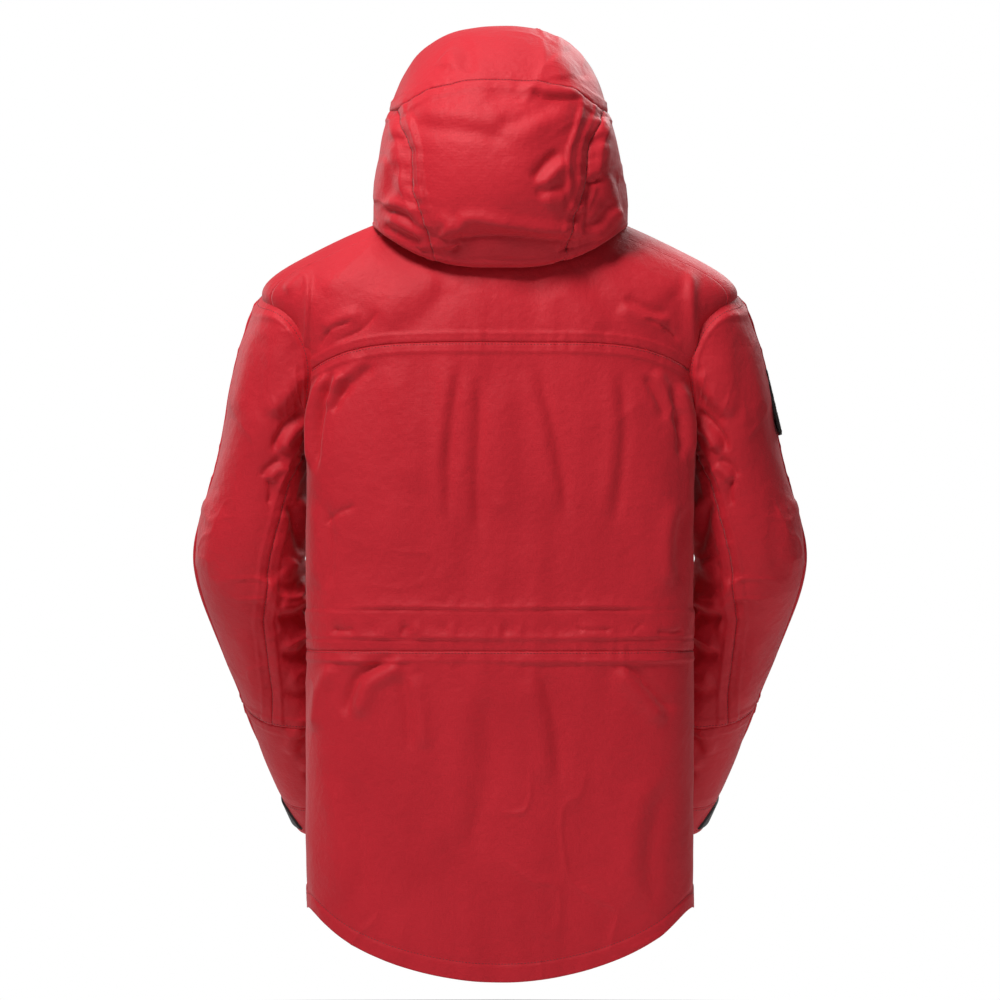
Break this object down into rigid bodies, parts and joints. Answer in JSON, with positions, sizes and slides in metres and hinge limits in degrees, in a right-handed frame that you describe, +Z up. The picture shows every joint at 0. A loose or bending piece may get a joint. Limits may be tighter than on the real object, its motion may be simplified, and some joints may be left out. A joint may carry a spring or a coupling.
{
  "type": "hardshell jacket",
  "caption": "Hooded waterproof mountain shell jacket with a drop-tail hem, full front zip, articulated sleeves, zipped chest pockets and a cinchable hood.",
  "frame": {"origin": "nape: the middle of the back neck seam, where the hang loop is sewn", "axes": "+Z up along the wearer's back, -Y the way the wearer faces, +X the wearer's left"},
  "size_m": [0.678, 0.3648, 1.0561],
  "materials": {
    "shell_fabric": "matte plain weave with a soft sheen",
    "lining_fabric": "matte",
    "elastic": "ribbed",
    "zip_tape": "coated, smooth",
    "zip_plastic": "satin",
    "zip_metal": "satin black",
    "pull_rubber": "matte",
    "tab_rubber": "matte",
    "loop_pile": "short pile",
    "stiffener": "foil",
    "spring_steel": "bright",
    "lock_button": "satin",
    "lock_plastic": "satin",
    "webbing": "woven tape"
  },
  "bodies": {
    "torso": {"back_panel": "shell_fabric", "back_yoke": "shell_fabric", "collar": "shell_fabric", "hang_loop": "webbing", "hem_elastic": "elastic", "hem_facing": "lining_fabric", "hem_lock_bodies": "lock_plastic", "hem_lock_springs": "spring_steel", "inner_storm_flap": "lining_fabric", "left_front": "shell_fabric", "left_front_skirt": "shell_fabric", "left_pocket_bag": "lining_fabric", "left_pocket_zip": "zip_tape", "left_zip_coil": "zip_plastic", "left_zip_tape": "zip_tape", "lower_back_panel": "shell_fabric", "right_front": "shell_fabric", "right_front_skirt": "shell_fabric", "right_pocket_bag": "lining_fabric", "right_pocket_zip": "zip_tape", "right_zip_coil": "zip_plastic", "right_zip_tape": "zip_tape", "waist_casing": "lining_fabric", "waist_elastic": "elastic", "zip_insertion_pin": "zip_plastic", "zip_retainer_box": "zip_plastic", "zip_top_stops": "zip_plastic"},
    "zip_slider": {"zip_slider": "zip_metal"},
    "zip_pull": {"zip_pull": "pull_rubber"},
    "left_sleeve": {"left_cuff": "shell_fabric", "left_cuff_facing": "lining_fabric", "left_cuff_loop_patch": "loop_pile", "left_sleeve_lower": "shell_fabric", "left_sleeve_outer": "shell_fabric", "left_sleeve_under": "shell_fabric"},
    "left_cuff_tab": {"left_cuff_tab": "tab_rubber"},
    "left_pocket_slider": {"left_pocket_slider": "zip_metal"},
    "left_hood_plunger": {"left_hood_lock_plunger": "lock_button"},
    "left_hem_plunger": {"left_hem_lock_plunger": "lock_button"},
    "right_sleeve": {"right_cuff": "shell_fabric", "right_cuff_facing": "lining_fabric", "right_cuff_loop_patch": "loop_pile", "right_sleeve_lower": "shell_fabric", "right_sleeve_outer": "shell_fabric", "right_sleeve_under": "shell_fabric", "sleeve_badge_patch": "loop_pile"},
    "right_cuff_tab": {"right_cuff_tab": "tab_rubber"},
    "right_pocket_slider": {"right_pocket_slider": "zip_metal"},
    "right_hood_plunger": {"right_hood_lock_plunger": "lock_button"},
    "right_hem_plunger": {"right_hem_lock_plunger": "lock_button"},
    "hood": {"hood_centre_panel": "shell_fabric", "hood_crown_panel": "shell_fabric", "hood_face_hem": "lining_fabric", "hood_lock_bodies": "lock_plastic", "hood_lock_springs": "spring_steel", "hood_visor_stiffener": "stiffener", "left_hood_side": "shell_fabric", "right_hood_side": "shell_fabric"}
  },
  "joints": [
    {"name": "main_zip_slide", "type": "slide", "parent": "torso", "child": "zip_slider", "axis": [0, -0.1123, -0.9937], "range_m": [0, 0.728]},
    {"name": "zip_pull_flip", "type": "hinge", "parent": "zip_slider", "child": "zip_pull", "pos_m": [0, -0.16608, 0.00358], "axis": [-1, 0, 0], "range_deg": [0, 150]},
    {"name": "hood_fold", "type": "hinge", "parent": "torso", "child": "hood", "pos_m": [0, 0.012, 0], "axis": [-1, 0, 0], "range_deg": [0, 95], "deforming": ["hood_centre_panel", "hood_crown_panel", "hood_face_hem", "hood_visor_stiffener", "left_hood_side", "right_hood_side"]},
    {"name": "left_sleeve_raise", "type": "hinge", "parent": "torso", "child": "left_sleeve", "pos_m": [0.226, -0.09, -0.11], "axis": [0, -1, 0], "range_deg": [0, 50], "deforming": ["left_sleeve_outer", "left_sleeve_under", "left_sleeve_lower"]},
    {"name": "left_cuff_tab_open", "type": "hinge", "parent": "left_sleeve", "child": "left_cuff_tab", "pos_m": [0.2322, -0.218, -0.6613], "axis": [0.5591, 0, 0.8291], "range_deg": [0, 110]},
    {"name": "left_pocket_zip_slide", "type": "slide", "parent": "torso", "child": "left_pocket_slider", "axis": [0, -0.1101, -0.9939], "range_m": [0, 0.135]},
    {"name": "left_hood_lock_press", "type": "slide", "parent": "hood", "child": "left_hood_plunger", "axis": [0, -0.1123, -0.9937], "range_m": [0, 0.0035], "stiffness_N_per_m": 400, "springref_m": -0.001, "deforming": ["hood_lock_springs"]},
    {"name": "left_hem_lock_press", "type": "slide", "parent": "torso", "child": "left_hem_plunger", "axis": [0, -0.1123, -0.9937], "range_m": [0, 0.0035], "stiffness_N_per_m": 400, "springref_m": -0.001, "deforming": ["hem_lock_springs"]},
    {"name": "right_sleeve_raise", "type": "hinge", "parent": "torso", "child": "right_sleeve", "pos_m": [-0.226, -0.09, -0.11], "axis": [0, 1, 0], "range_deg": [0, 50], "deforming": ["right_sleeve_outer", "right_sleeve_under", "right_sleeve_lower"]},
    {"name": "right_cuff_tab_open", "type": "hinge", "parent": "right_sleeve", "child": "right_cuff_tab", "pos_m": [-0.2322, -0.218, -0.6613], "axis": [0.5591, 0, -0.8291], "range_deg": [0, 110]},
    {"name": "right_pocket_zip_slide", "type": "slide", "parent": "torso", "child": "right_pocket_slider", "axis": [0, -0.1101, -0.9939], "range_m": [0, 0.135]},
    {"name": "right_hood_lock_press", "type": "slide", "parent": "hood", "child": "right_hood_plunger", "axis": [0, -0.1123, -0.9937], "range_m": [0, 0.0035], "stiffness_N_per_m": 400, "springref_m": -0.001, "deforming": ["hood_lock_springs"]},
    {"name": "right_hem_lock_press", "type": "slide", "parent": "torso", "child": "right_hem_plunger", "axis": [0, -0.1123, -0.9937], "range_m": [0, 0.0035], "stiffness_N_per_m": 400, "springref_m": -0.001, "deforming": ["hem_lock_springs"]}
  ]
}
